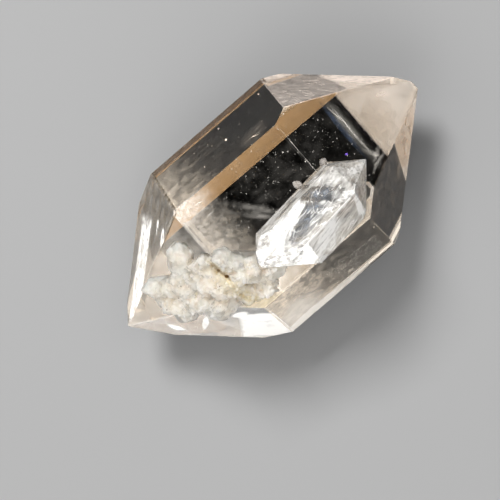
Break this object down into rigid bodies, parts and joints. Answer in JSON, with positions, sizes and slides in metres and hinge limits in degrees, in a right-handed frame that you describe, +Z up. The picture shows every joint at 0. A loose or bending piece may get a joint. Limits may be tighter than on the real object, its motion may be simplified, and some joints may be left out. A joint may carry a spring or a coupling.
{
  "type": "quartz crystal cluster",
  "caption": "Doubly terminated clear quartz crystal lying on a prism face, with a smaller doubly terminated crystal grown across its top and a crust of tiny crystals at one end.",
  "frame": {"origin": "centre of the outline seen from above, at the level of the surface it rests on", "axes": "+Z up from the resting prism face; the long crystal axis lies level, 40.6 degrees from +X towards +Y"},
  "size_m": [0.026, 0.0236, 0.0188],
  "materials": {
    "clear_quartz": "polished natural faces, clear with a faint smoky peach tint",
    "small_crystal_quartz": "clear with white veils, striated faces",
    "crust_quartz": "milky, granular, sparkling",
    "iron_stain": "dull ochre mineral stain in the crust",
    "veil_white": "white healed-crack veils and specks inside the crystal"
  },
  "bodies": {
    "root": {"herkimer_crystal": "clear_quartz"}
  },
  "joints": []
}
